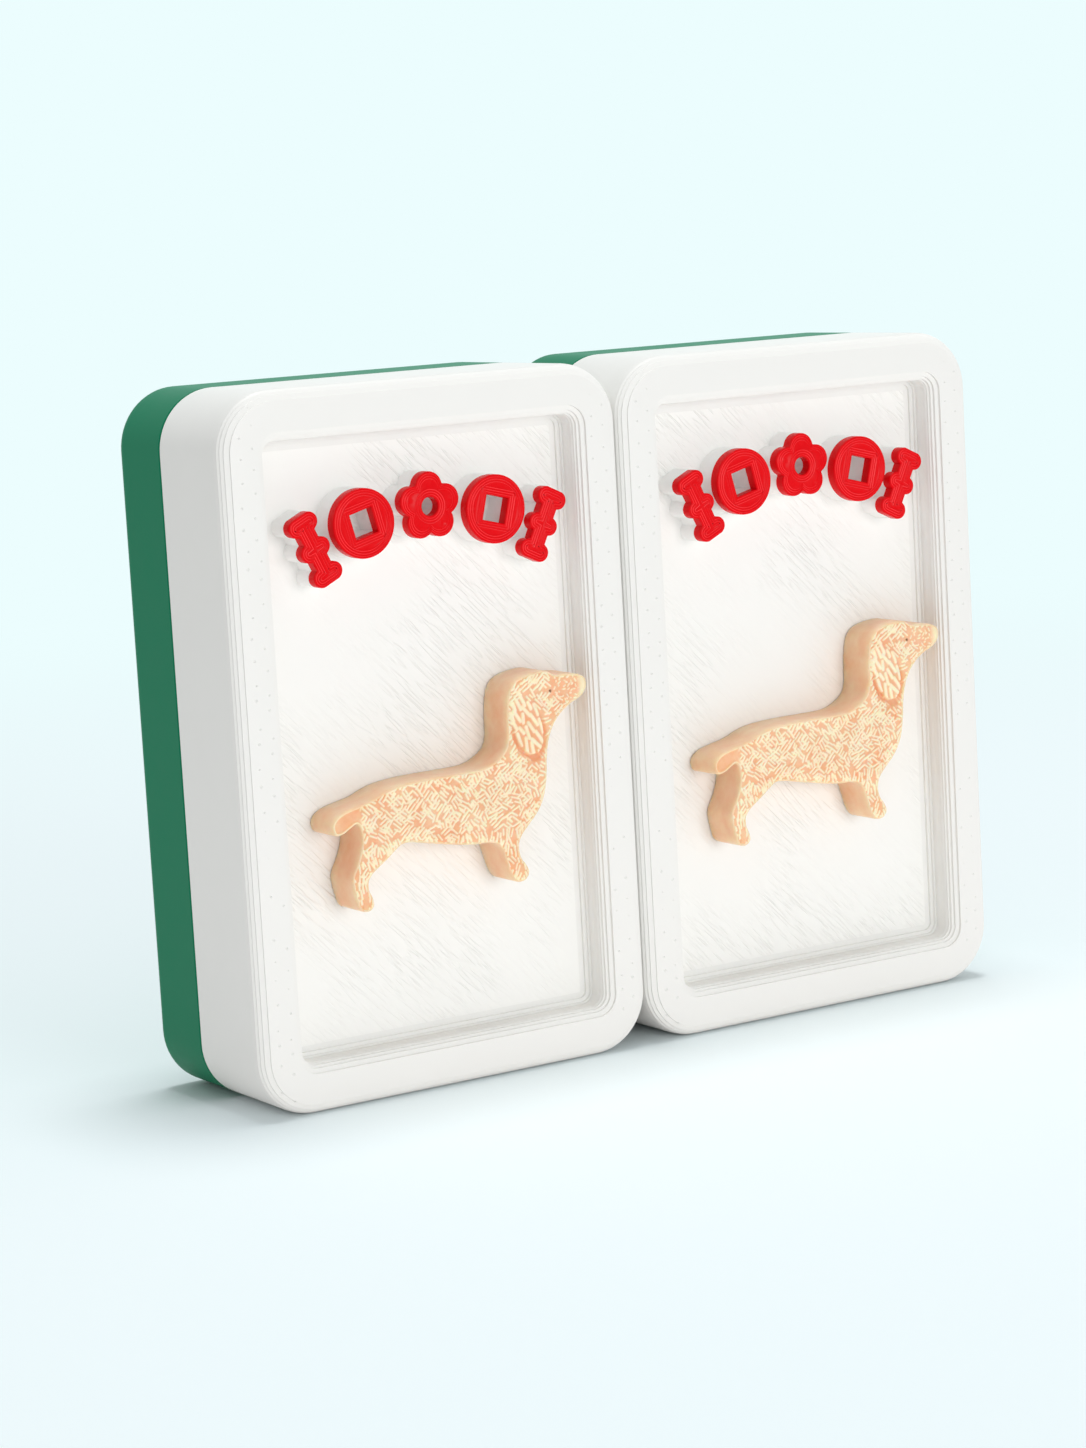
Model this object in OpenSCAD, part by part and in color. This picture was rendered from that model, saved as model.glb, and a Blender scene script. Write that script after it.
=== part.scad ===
// Two mahjong tiles standing side by side, printed in coloured plastic.
// Each tile has a green back, a white body with a raised rim round a shallow recess,
// five red-capped marks in an arch and a gold dachshund below them.
// Each tile is drawn lying on its back, as it is printed, and then stood up:
// while it lies, x runs across the face, y up the face and z out of it.

/* [Tile] */
// Width of one tile
tile_w = 27; // [25:0.5:31]
// Height of a standing tile
tile_h = 42; // [38:0.5:56]
// Thickness of a tile, back to front
tile_t = 13; // [11:0.5:18]
// Thickness of the green back
back_t = 5.5; // [3:0.25:7]
// Radius of the four outer corners
corner_r = 3.6; // [2.5:0.1:6]
// Rounding of the front outer edge
front_round = 1.1; // [0.3:0.1:1.4]
// Rounding of the rear outer edge
rear_round = 0.8; // [0.3:0.1:1.4]

/* [Recess] */
// Width of the rim, from the tile's side to the recess wall
rim_w = 3; // [2.2:0.1:3.6]
// Depth of the recess below the rim
recess_depth = 2.2; // [1.6:0.1:3.5]
// Radius of the recess corners
recess_corner_r = 0.75; // [0.6:0.05:2.5]
// Rounding of the rim's inner edge
rim_round = 1; // [0.2:0.1:1.2]
// Rounding between the recess wall and its floor
cove_r = 0.65; // [0.2:0.05:0.7]

/* [Marks] */
// Length of a bamboo mark
mark_h = 4.4; // [3:0.1:5]
// Thickness of the red cap on a mark
cap_t = 0.7; // [0.3:0.1:1.2]
// Gap between neighbouring marks
mark_gap = 0.45; // [0.3:0.05:0.8]
// Gap between the ends of the row of marks and the cove
row_end_gap = 0.15; // [0.1:0.05:1]
// Drop from the upper edge of the floor to the top of the row
row_drop = 1.7; // [0.5:0.1:2.5]
// Radius of the arch that the marks stand along
arch_r = 17.8; // [15:0.1:30]

/* [Dog] */
// Gap between the nose and the cove
nose_gap = 0.1; // [0.1:0.05:2]
// Gap between the cove and the tip of the tail
tail_gap = 1.7; // [0.5:0.05:4]
// Height of the paws above the lower edge of the floor
paw_rise = 7.85; // [2:0.05:9]
// Thickness of the dog, which stands out past the rim
dog_t = 2.85; // [2:0.05:3.5]
// Rounding of the dog's upper edge
dog_round = 0.25; // [0.1:0.05:0.3]
// Print layers that the rounding is made of
dog_layers = 3; // [1:1:5]
// How far the marks stay below the rim
set_back = 0.05; // [0:0.05:0.5]

/* [Hidden] */
$fn = 48;
overrun = 1;

white = "#f4f4f0";
green = "#26724f";
red = "#e3000f";
gold = "#e3b183";

// The recess and its flat floor, measured across the face
recess_w = tile_w - 2 * rim_w;
recess_h = tile_h - 2 * rim_w;
floor_w = recess_w - 2 * cove_r;
floor_h = recess_h - 2 * cove_r;
floor_z = tile_t - recess_depth;
face_z = tile_t - set_back;
plinth_z = face_z - cap_t;
dog_z = floor_z + dog_t;

// Depth of the standing pair, with the dogs
pair_t = max(tile_t, dog_z);

// The row of marks: its ends stay clear of the cove, and sticks and round marks share the room between
row_half_turn = asin((floor_w / 2 - row_end_gap) / (arch_r + mark_h / 2));
row_len = 2 * arch_r * row_half_turn * PI / 180;
bamboo_w_share = 0.49;
pip_d = (row_len - 4 * mark_gap) / (3 + 2 * bamboo_w_share);
row_y = floor_h / 2 - row_drop - mark_h / 2;

// A bamboo mark at its joints and its stem, and the holes and petals of the round marks
bamboo_w = pip_d * bamboo_w_share;
stem_w_share = 0.55;
stem_w = bamboo_w * stem_w_share;
joint_h = stem_w;
coin_hole_share = 0.37;
coin_hole = pip_d * coin_hole_share;
blossom_hole_share = 0.27;
blossom_hole = pip_d * blossom_hole_share;
petals = 5;
petal_d_share = 0.44;
petal_d = pip_d * petal_d_share;

// Turn of each mark about the centre of the arch
coin_turn = (pip_d + mark_gap) / arch_r * 180 / PI;
bamboo_turn = coin_turn + ((pip_d + bamboo_w) / 2 + mark_gap) / arch_r * 180 / PI;
mark_turns = [-bamboo_turn, -coin_turn, 0, coin_turn, bamboo_turn];

// The dog's outline, clockwise from its tail, in shares of its length and height
dog_len = floor_w - nose_gap - tail_gap;
dog_h_share = 0.7;
dog_h = dog_len * dog_h_share;
tail_top_shares = [[-0.005, 0.43], [0.03, 0.475], [0.09, 0.495]];
back_shares = [
    [0.145, 0.51], [0.2, 0.545], [0.265, 0.565], [0.385, 0.575], [0.52, 0.575], [0.585, 0.58], [0.635, 0.61]
];
nape_shares = [[0.67, 0.65], [0.68, 0.7], [0.68, 0.78], [0.685, 0.88], [0.7, 0.95]];
head_shares = [
    [0.735, 0.985], [0.785, 1], [0.84, 1.005], [0.865, 0.99], [0.877, 0.973], [0.93, 0.975],
    [0.98, 0.965], [1.005, 0.935], [1, 0.885], [0.975, 0.85], [0.93, 0.825], [0.89, 0.785]
];
chest_shares = [
    [0.86, 0.735], [0.84, 0.67], [0.83, 0.585], [0.825, 0.48], [0.81, 0.395], [0.785, 0.335], [0.75, 0.285]
];
fore_leg_shares = [
    [0.715, 0.24], [0.7, 0.19], [0.705, 0.13], [0.73, 0.09], [0.74, 0.045],
    [0.715, 0.01], [0.68, 0.015], [0.66, 0.06], [0.645, 0.13], [0.63, 0.2]
];
belly_shares = [[0.6, 0.225], [0.53, 0.225], [0.44, 0.245], [0.35, 0.27], [0.265, 0.295]];
hind_leg_shares = [
    [0.235, 0.27], [0.19, 0.22], [0.14, 0.175], [0.12, 0.14], [0.12, 0.1], [0.135, 0.06], [0.14, 0.02],
    [0.115, -0.01], [0.08, 0.01], [0.07, 0.065], [0.06, 0.13], [0.06, 0.17], [0.085, 0.23], [0.105, 0.305]
];
tail_under_shares = [[0.105, 0.375], [0.095, 0.42], [0.07, 0.4], [0.035, 0.37], [0.005, 0.37]];
dog_shares = concat(tail_top_shares, back_shares, nape_shares, head_shares, chest_shares,
    fore_leg_shares, belly_shares, hind_leg_shares, tail_under_shares);

// Cuts every corner of a closed outline at a quarter and three quarters of its sides
function soften(points) = [
    for (i = [0 : len(points) - 1])
        let (a = points[i], b = points[(i + 1) % len(points)])
        each [(3 * a + b) / 4, (a + 3 * b) / 4]
];

// A clockwise outline moved inwards by a distance
function inset(ring, distance) = [
    for (i = [0 : len(ring) - 1])
        let (n = len(ring), along = ring[(i + 1) % n] - ring[(i + n - 1) % n])
        ring[i] + distance * [along.y, -along.x] / norm(along)
];

dog_ring = [for (s = soften(soften(dog_shares))) [s.x * dog_len, s.y * dog_h]];

// Top of each print layer over the dog's rounded upper edge, and how far that layer is drawn in
dog_levels = [
    for (k = [0 : dog_layers])
        let (lean = 90 * k / dog_layers)
        [dog_z - dog_round * (1 - sin(lean)), dog_round * (1 - cos(lean))]
];

// What lies outside a rounding of radius r, whose sharp corner is at the origin
module sharp_corner(r) {
    if (r > 0)
        translate([-r, -r]) difference() {
            square(r + overrun);
            circle(r);
        }
}

// Half section of a slab: as wide as reach, with its outer corners rounded
module slab_section(reach, low, high, low_round = 0, high_round = 0) {
    difference() {
        translate([0, low]) square([reach, high - low]);
        translate([reach, high]) sharp_corner(high_round);
        translate([reach, low]) mirror([0, 1]) sharp_corner(low_round);
    }
}

// Half section of the recess: a cove at the floor, and a flare that rounds the rim's inner edge
module recess_section(reach) {
    slab_section(reach, floor_z, tile_t + overrun, low_round = cove_r);
    translate([reach, tile_t - rim_round]) difference() {
        square([rim_round, rim_round + overrun]);
        translate([rim_round, 0]) circle(rim_round);
    }
}

// A bar along x whose half section is the child, drawn at $reach
module bar(length, reach) {
    rotate([90, 0, 90]) translate([0, 0, -length / 2]) linear_extrude(length)
        for (side = [0, 1]) mirror([side, 0]) let ($reach = reach) children();
}

// A rectangle with round corners whose half section is the child, drawn at $reach
module rounded_block(w, h, r) {
    corners = [[1, 1], [-1, 1], [-1, -1], [1, -1]];
    for (k = [0 : 3])
        translate([corners[k].x * (w / 2 - r), corners[k].y * (h / 2 - r), 0])
            rotate(90 * k) rotate_extrude(angle = 90) let ($reach = r) children();
    bar(w - 2 * r, h / 2) children();
    rotate(90) bar(h - 2 * r, w / 2) children();
}

// A stick of bamboo: a stem with a round-ended joint at each end and one in the middle
module bamboo_outline() {
    square([stem_w, mark_h - joint_h], center = true);
    for (k = [-1 : 1]) translate([0, k * (mark_h - joint_h) / 2]) {
        square([bamboo_w - joint_h, joint_h], center = true);
        for (side = [-1, 1]) translate([side * (bamboo_w - joint_h) / 2, 0]) circle(d = joint_h);
    }
}

// A round coin with a square hole
module coin_outline() {
    difference() {
        circle(d = pip_d);
        square(coin_hole, center = true);
    }
}

// A blossom of round petals with a round hole
module blossom_outline() {
    difference() {
        union() {
            circle(d = pip_d - petal_d);
            for (k = [0 : petals - 1])
                rotate(90 + k * 360 / petals) translate([(pip_d - petal_d) / 2, 0]) circle(d = petal_d);
        }
        circle(d = blossom_hole);
    }
}

// Mark number k of the row, from the left, standing square on the arch
module mark_outline(k) {
    translate([0, row_y - arch_r]) rotate(-mark_turns[k]) translate([0, arch_r]) {
        if (k == 0 || k == 4) bamboo_outline();
        if (k == 1 || k == 3) coin_outline();
        if (k == 2) blossom_outline();
    }
}

// The green back, rounded at its rear edge
module tile_back() {
    color(green) rounded_block(tile_w, tile_h, corner_r)
        slab_section($reach, 0, back_t, low_round = rear_round);
}

// The white body: a rim round the recess, and the plinths of the marks on its floor
module tile_body() {
    color(white) {
        difference() {
            rounded_block(tile_w, tile_h, corner_r)
                slab_section($reach, back_t, tile_t, high_round = front_round);
            rounded_block(recess_w, recess_h, recess_corner_r) recess_section($reach);
        }
        for (k = [0 : len(mark_turns) - 1])
            translate([0, 0, floor_z - overrun]) linear_extrude(plinth_z - floor_z + overrun) mark_outline(k);
    }
}

// The red cap of mark number k
module mark_cap(k) {
    color(red) translate([0, 0, plinth_z]) linear_extrude(cap_t) mark_outline(k);
}

// The dog: its outline raised from the floor, with the last layers drawn in to round the upper edge
module tile_dog() {
    color(gold) translate([tail_gap - floor_w / 2, paw_rise - floor_h / 2, 0])
        for (k = [0 : dog_layers]) {
            start = k == 0 ? floor_z : dog_levels[0].x - dog_round;
            translate([0, 0, start]) linear_extrude(dog_levels[k].x - start)
                polygon(inset(dog_ring, dog_levels[k].y));
        }
}

// Stands a tile on its lower edge: side -1 is the left tile and side 1 the right one
module stand(side) {
    translate([side * tile_w / 2, pair_t / 2, tile_h / 2]) rotate([90, 0, 0]) children();
}

module left_back() { stand(-1) tile_back(); }
module left_body() { stand(-1) tile_body(); }
module left_bamboo_outer() { stand(-1) mark_cap(0); }
module left_coin_outer() { stand(-1) mark_cap(1); }
module left_blossom() { stand(-1) mark_cap(2); }
module left_coin_inner() { stand(-1) mark_cap(3); }
module left_bamboo_inner() { stand(-1) mark_cap(4); }
module left_dog() { stand(-1) tile_dog(); }
module right_back() { stand(1) tile_back(); }
module right_body() { stand(1) tile_body(); }
module right_bamboo_inner() { stand(1) mark_cap(0); }
module right_coin_inner() { stand(1) mark_cap(1); }
module right_blossom() { stand(1) mark_cap(2); }
module right_coin_outer() { stand(1) mark_cap(3); }
module right_bamboo_outer() { stand(1) mark_cap(4); }
module right_dog() { stand(1) tile_dog(); }

left_back();
left_body();
left_bamboo_outer();
left_coin_outer();
left_blossom();
left_coin_inner();
left_bamboo_inner();
left_dog();
right_back();
right_body();
right_bamboo_inner();
right_coin_inner();
right_blossom();
right_coin_outer();
right_bamboo_outer();
right_dog();
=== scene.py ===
"""Dresses a packed pair of printed mahjong tiles: green backs, white faces, red marks and gold dogs."""

import logging
import math
from collections.abc import Callable
from dataclasses import dataclass
from enum import Enum
from functools import partial

import bmesh
import bpy
import numpy as np
from mathutils import Matrix, Vector, kdtree


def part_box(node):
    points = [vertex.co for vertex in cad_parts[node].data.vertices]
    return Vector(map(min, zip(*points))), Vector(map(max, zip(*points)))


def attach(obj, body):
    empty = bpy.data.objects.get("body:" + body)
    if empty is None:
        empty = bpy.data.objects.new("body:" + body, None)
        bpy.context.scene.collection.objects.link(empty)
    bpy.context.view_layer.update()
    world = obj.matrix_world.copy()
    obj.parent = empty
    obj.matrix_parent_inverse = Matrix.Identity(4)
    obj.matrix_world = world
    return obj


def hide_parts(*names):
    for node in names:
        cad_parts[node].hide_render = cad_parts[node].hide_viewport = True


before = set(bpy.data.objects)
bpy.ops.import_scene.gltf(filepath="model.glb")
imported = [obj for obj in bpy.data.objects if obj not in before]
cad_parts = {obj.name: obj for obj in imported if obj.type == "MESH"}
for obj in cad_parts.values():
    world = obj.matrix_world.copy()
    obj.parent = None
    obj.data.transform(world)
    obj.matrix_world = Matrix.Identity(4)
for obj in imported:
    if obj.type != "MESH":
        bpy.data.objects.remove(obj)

LOG = logging.getLogger("tiles")
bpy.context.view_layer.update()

# Lengths below are millimetres unless a name says otherwise; Blender's unit is the metre.
MM = 0.001
LAYER = 0.2
CORNER_SEGMENTS = 16
ROUND_SEGMENTS = 96
TOUCH = 1e-6
WELD_M = 1e-7

# Height of the photograph in pixels
PHOTO_H = 1448

Array = np.ndarray
Span = tuple[float, float]
Triple = tuple[float, float, float]
Mesh = bmesh.types.BMesh
Material = bpy.types.Material
Piece = bpy.types.Object
Socket = bpy.types.NodeSocket
Tree = bpy.types.NodeTree


class Side(Enum):
    """Which of the two tiles a piece belongs to."""

    LEFT = "left"
    RIGHT = "right"


class Zone(Enum):
    """Which stretch of the white body a face lies on; the value is its material slot."""

    FLANK = 0
    RIM = 1
    WALL = 2
    RECESS = 3


class MarkShape(Enum):
    """The traditional marks in the row."""

    BAMBOO = "bamboo"
    COIN = "coin"
    BLOSSOM = "blossom"


def linear(hex_colour: str) -> tuple[float, ...]:
    """Turns an sRGB hex colour to linear light.

    Args:
        hex_colour: six hex digits after a hash.

    Returns:
        Red, green, blue and alpha.
    """
    values = [int(hex_colour[k:k + 2], 16) / 255 for k in (1, 3, 5)]
    red, green, blue = (v / 12.92 if v <= 0.04045 else ((v + 0.055) / 1.055) ** 2.4 for v in values)
    return red, green, blue, 1.0


def smooth_step(low: float, high: float, value: Array) -> Array:
    """Eases values from 0 at low to 1 at high; where high is below low, the step falls as they grow."""
    share = np.clip((value - low) / (high - low), 0, 1)
    return share * share * (3 - 2 * share)


def add_node(tree: Tree, kind: str, inputs: dict | None = None, **settings) -> bpy.types.Node:
    """Adds a node, sets its properties, and fills or links its inputs.

    Args:
        tree: the node tree.
        kind: Blender's type name of the node, without its prefix.
        inputs: values, or sockets to link, by input name or number.
        settings: properties of the node.

    Returns:
        The new node.
    """
    node = tree.nodes.new(f"ShaderNode{kind}")
    for key, value in settings.items():
        setattr(node, key, value)
    for key, value in (inputs or {}).items():
        if isinstance(value, Socket):
            tree.links.new(value, node.inputs[key])
        else:
            node.inputs[key].default_value = value
    return node


def maths(tree: Tree, operation: str, *values: Socket | float) -> Socket:
    """Adds a sum of one to three values or sockets and gives its result."""
    return add_node(tree, "Math", dict(enumerate(values)), operation=operation).outputs[0]


def ranged(tree: Tree, value: Socket, source: tuple = (0.0, 1.0), target: tuple = (0.0, 1.0),
           easing: str = "LINEAR") -> Socket:
    """Maps a value from the source range on to the target range and gives the result."""
    names = ("Value", "From Min", "From Max", "To Min", "To Max")
    inputs = dict(zip(names, (value, *source, *target)))
    return add_node(tree, "MapRange", inputs, interpolation_type=easing).outputs["Result"]


def blended(tree: Tree, factor: Socket, first: Socket | tuple, second: Socket | tuple) -> Socket:
    """Mixes two colours and gives the result."""
    inputs = {"Factor": factor, 6: first, 7: second}
    return add_node(tree, "Mix", inputs, data_type="RGBA").outputs[2]


def fresh_tree(holder: Material | bpy.types.World) -> Tree:
    """Gives the emptied node tree of a material or a world."""
    holder.use_nodes = True
    holder.node_tree.nodes.clear()
    return holder.node_tree


def add_object(name: str, data: bpy.types.ID) -> Piece:
    """Adds an object at the origin to the scene."""
    item = bpy.data.objects.new(name, data)
    bpy.context.scene.collection.objects.link(item)
    return item


@dataclass(frozen=True)
class PrintedPlastic:
    """PLA laid down by a hot nozzle: satin, with a soft highlight and faint changes of tone and gloss."""

    name: str
    colour: str
    second: str
    roughness: float
    ior: float = 1.46
    specular: float = 0.5
    glow: float = 0.0
    scatter: Triple = (1.0, 0.95, 0.85)
    scatter_mm: float = 1.2
    mottle_mm: float = 3.0
    gloss_spread: float = 0.06
    relief_mm: float = 0.02

    def build(self) -> Material:
        """Makes the material with its colour, gloss and relief nodes.

        Returns:
            The new material.
        """
        material = bpy.data.materials.new(self.name)
        tree = fresh_tree(material)
        place = add_node(tree, "TexCoord").outputs["Object"]
        cloud = add_node(tree, "TexNoise", {
            "Vector": place, "Scale": 1 / (self.mottle_mm * MM), "Detail": 4.0,
            "Roughness": 0.6}).outputs["Fac"]
        gloss = ranged(tree, cloud, target=(
            self.roughness - self.gloss_spread, self.roughness + self.gloss_spread))
        shader = add_node(tree, "BsdfPrincipled", {
            "Base Color": self.tint(tree, cloud), "Roughness": gloss, "IOR": self.ior,
            "Specular IOR Level": self.specular, "Subsurface Weight": self.glow,
            "Subsurface Radius": self.scatter, "Subsurface Scale": self.scatter_mm * MM})
        height = self.relief(tree, place)
        if height is not None:
            bump = add_node(tree, "Bump", {"Height": height, "Distance": self.relief_mm * MM})
            tree.links.new(bump.outputs["Normal"], shader.inputs["Normal"])
        add_node(tree, "OutputMaterial", {"Surface": shader.outputs["BSDF"]})
        return material

    def tint(self, tree: Tree, cloud: Socket) -> Socket:
        """Mixes the two tones of the plastic by slow noise."""
        return blended(tree, cloud, linear(self.colour), linear(self.second))

    def relief(self, tree: Tree, place: Socket) -> Socket | None:
        """Gives the height of the print lines, or None where the surface is plain."""
        return None


@dataclass(frozen=True)
class LayeredPlastic(PrintedPlastic):
    """A printed side wall: layer lines run round it, level with the tile's face.

    One layer is too fine to show, so lines are drawn three layers apart.
    """

    layers_per_line: int = 3

    def relief(self, tree: Tree, place: Socket) -> Socket:
        """Gives a wave along the depth of the tile, one crest to a few layers."""
        depth = add_node(tree, "SeparateXYZ", {"Vector": place}).outputs["Y"]
        return maths(tree, "SINE", maths(
            tree, "MULTIPLY", depth, 2 * math.pi / (LAYER * self.layers_per_line * MM)))


@dataclass(frozen=True)
class StreakedPlastic(PrintedPlastic):
    """The recess floor: the nozzle's lines run down to the right at 45 degrees and show in patches."""

    pitch_mm: float = 0.252
    streak_mm: float = 2.4
    patch_mm: float = 7.0
    dash_range: Span = (0.5, 0.62)
    patch_range: Span = (0.36, 0.6)

    def relief(self, tree: Tree, place: Socket) -> Socket:
        """Gives slanting lines that come and go.

        Args:
            tree: the material's node tree.
            place: object coordinates.

        Returns:
            A height socket.
        """
        slope = math.sqrt(0.5)
        across, along = (add_node(tree, "VectorMath", {0: place, 1: way}, operation="DOT_PRODUCT")
                         for way in ((slope, 0, slope), (slope, 0, -slope)))
        sheet = add_node(tree, "CombineXYZ", {
            "X": across.outputs["Value"], "Y": along.outputs["Value"]})
        stretched = add_node(tree, "VectorMath", {
            0: sheet.outputs["Vector"], 1: (1 / (self.pitch_mm * MM), 1 / (self.streak_mm * MM), 0)},
            operation="MULTIPLY")
        lines = add_node(tree, "TexNoise", {
            "Vector": stretched.outputs["Vector"], "Scale": 1.0, "Detail": 1.0}, noise_dimensions="2D")
        patch = add_node(tree, "TexNoise", {
            "Vector": place, "Scale": 1 / (self.patch_mm * MM), "Detail": 1.0})
        dashes = ranged(tree, lines.outputs["Fac"], self.dash_range)
        return maths(tree, "MULTIPLY", dashes, ranged(tree, patch.outputs["Fac"], self.patch_range))


@dataclass(frozen=True)
class PittedPlastic(PrintedPlastic):
    """The rim: smooth, with two rows of tiny pits on its upright sides where the nozzle turned back."""

    pit_step_mm: float = 1.25
    pit_mm: float = 0.13
    least_pit_share: float = 0.1
    rows_mm: Span = (12.25, 11.45)
    row_shift_share: float = 0.5
    stray_mm: float = 0.12
    stray_shares: Span = (0.3, 0.7)
    tile_w_mm: float = 27.0

    def relief(self, tree: Tree, place: Socket) -> Socket:
        """Gives the pits of both rows.

        Args:
            tree: the material's node tree.
            place: object coordinates.

        Returns:
            A height socket.
        """
        split = add_node(tree, "SeparateXYZ", {"Vector": place}).outputs
        from_pair = maths(tree, "ABSOLUTE", split["X"])
        across = maths(tree, "ABSOLUTE", maths(tree, "SUBTRACT", from_pair, self.tile_w_mm / 2 * MM))
        return maths(tree, "MINIMUM", *(self.pit_row(tree, across, split["Z"], row) for row in range(2)))

    def pit_row(self, tree: Tree, across: Socket, up: Socket, row: int) -> Socket:
        """Gives one row of pits: one dip to a step, a little out of line.

        Args:
            tree: the material's node tree.
            across: distance from the tile's middle line.
            up: height above the ground.
            row: which row.

        Returns:
            A height socket.
        """
        step, reach = self.pit_step_mm * MM, self.rows_mm[row]
        turns = maths(tree, "MULTIPLY_ADD", up, 1 / step, row * self.row_shift_share)
        chance = add_node(tree, "TexWhiteNoise", {
            "W": maths(tree, "FLOOR", turns)}, noise_dimensions="1D")
        spread = add_node(tree, "SeparateColor", {"Color": chance.outputs["Color"]}).outputs
        middle = ranged(tree, spread["Red"], target=self.stray_shares)
        line = ranged(tree, spread["Green"], target=(
            (reach - self.stray_mm) * MM, (reach + self.stray_mm) * MM))
        size = ranged(tree, spread["Blue"], target=(
            self.least_pit_share * self.pit_mm * MM, self.pit_mm * MM))
        rise = maths(tree, "MULTIPLY", maths(tree, "SUBTRACT", maths(tree, "FRACT", turns), middle), step)
        side = maths(tree, "SUBTRACT", across, line)
        point = add_node(tree, "CombineXYZ", {"X": side, "Y": rise})
        length = add_node(tree, "VectorMath", {0: point.outputs["Vector"]}, operation="LENGTH")
        return ranged(tree, length.outputs["Value"], (0.0, size), easing="SMOOTHSTEP")


@dataclass(frozen=True)
class SilkPlastic(PrintedPlastic):
    """Silk-gold PLA: pearly tan; the cream on raised strokes, edges and nose is a painted highlight, and the
    brown in the eye's dimple is painted shade.
    """

    scatter: Triple = (1.0, 0.55, 0.3)
    # Brown of the painted shade in the eye's dimple
    eye_shade_brown: str = "#8a5c34"
    mottle_mm: float = 1.6
    blotch: float = 0.22
    blotch_range: Span = (0.3, 0.7)

    def tint(self, tree: Tree, cloud: Socket) -> Socket:
        """Mixes tan with cream by the mesh's painted highlight share, and with brown by its painted shade in
        the eye's dimple.

        Args:
            tree: the material's node tree.
            cloud: slow noise from 0 to 1.

        Returns:
            A colour socket.
        """
        fur_and_sheen, eye_dip_shade = (add_node(tree, "Attribute", attribute_name=name).outputs["Fac"]
                    for name in ("fur_and_sheen", "eye_dip_shade"))
        blotch = ranged(tree, cloud, self.blotch_range, (-self.blotch, self.blotch))
        pale = add_node(tree, "Math", {0: fur_and_sheen, 1: blotch}, operation="ADD", use_clamp=True)
        silk = blended(tree, pale.outputs[0], linear(self.colour), linear(self.second))
        return blended(tree, eye_dip_shade, silk, linear(self.eye_shade_brown))


@dataclass(frozen=True)
class TileFrame:
    """Where one tile stands and how large it is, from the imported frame."""

    side: Side
    width: float
    height: float
    thickness: float
    back_t: float
    rear: float

    @classmethod
    def of(cls, side: Side) -> "TileFrame":
        """Reads a tile's sizes from its body and back.

        Args:
            side: which tile.

        Returns:
            The tile's frame.
        """
        body_low, body_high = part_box(f"{side.value}_body")
        back_low, back_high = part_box(f"{side.value}_back")
        return cls(side, (body_high.x - body_low.x) / MM, (body_high.z - body_low.z) / MM,
                   (back_high.y - body_low.y) / MM, (back_high.y - back_low.y) / MM, back_high.y / MM)

    def stand(self) -> Matrix:
        """Gives the matrix that stands a tile, drawn in millimetres on its back, in the frame."""
        middle = self.width / 2 * (-1 if self.side is Side.LEFT else 1)
        lift = Matrix.Translation((middle, self.rear, self.height / 2))
        return Matrix.Scale(MM, 4) @ lift @ Matrix.Rotation(math.pi / 2, 4, "X")

    def place(self, bm: Mesh, name: str, finishes: list[Material], slot: str,
              nodes: list[str], sharp_degrees: float = 40) -> None:
        """Makes a finished piece of a mesh drawn on the lying tile.

        Args:
            bm: the mesh, in millimetres; it is used up.
            name: the piece's name after the side.
            finishes: its materials, in slot order.
            slot: not used.
            nodes: the tile's nodes that the piece stands for, without the side.
            sharp_degrees: edges that turn more than this stay sharp.
        """
        bmesh.ops.recalc_face_normals(bm, faces=bm.faces[:])
        bmesh.ops.transform(bm, matrix=self.stand(), verts=bm.verts[:])
        mesh = bpy.data.meshes.new(f"{self.side.value}_{name}")
        bm.to_mesh(mesh)
        bm.free()
        mesh.shade_smooth()
        mesh.set_sharp_from_angle(angle=math.radians(sharp_degrees))
        for finish in finishes:
            mesh.materials.append(finish)
        piece = add_object(mesh.name, mesh)
        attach(piece, "root")
        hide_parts(*(f"{self.side.value}_{node}" for node in nodes))
        LOG.info("%s: %d faces", piece.name, len(mesh.polygons))


class SkinLoft:
    """A skin drawn ring by ring: each step extrudes the open edges and places their points anew."""

    def __init__(self, bm: Mesh) -> None:
        """Starts from the open edges of a mesh of flat faces."""
        self.bm = bm
        self.ring = [edge for edge in bm.edges if edge.is_boundary]

    def step(self, place: Callable[[Vector], Vector], slot: int) -> None:
        """Draws the skin on to the next ring.

        Args:
            place: gives a point's new place from its old one.
            slot: material slot of the new faces.
        """
        made = bmesh.ops.extrude_edge_only(self.bm, edges=self.ring)["geom"]
        verts = {item for item in made if isinstance(item, bmesh.types.BMVert)}
        for vert in verts:
            vert.co = place(vert.co)
        self.ring = [item for item in made
                     if isinstance(item, bmesh.types.BMEdge) and verts.issuperset(item.verts)]
        for edge in self.ring:
            for face in edge.link_faces:
                face.material_index = slot


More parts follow.
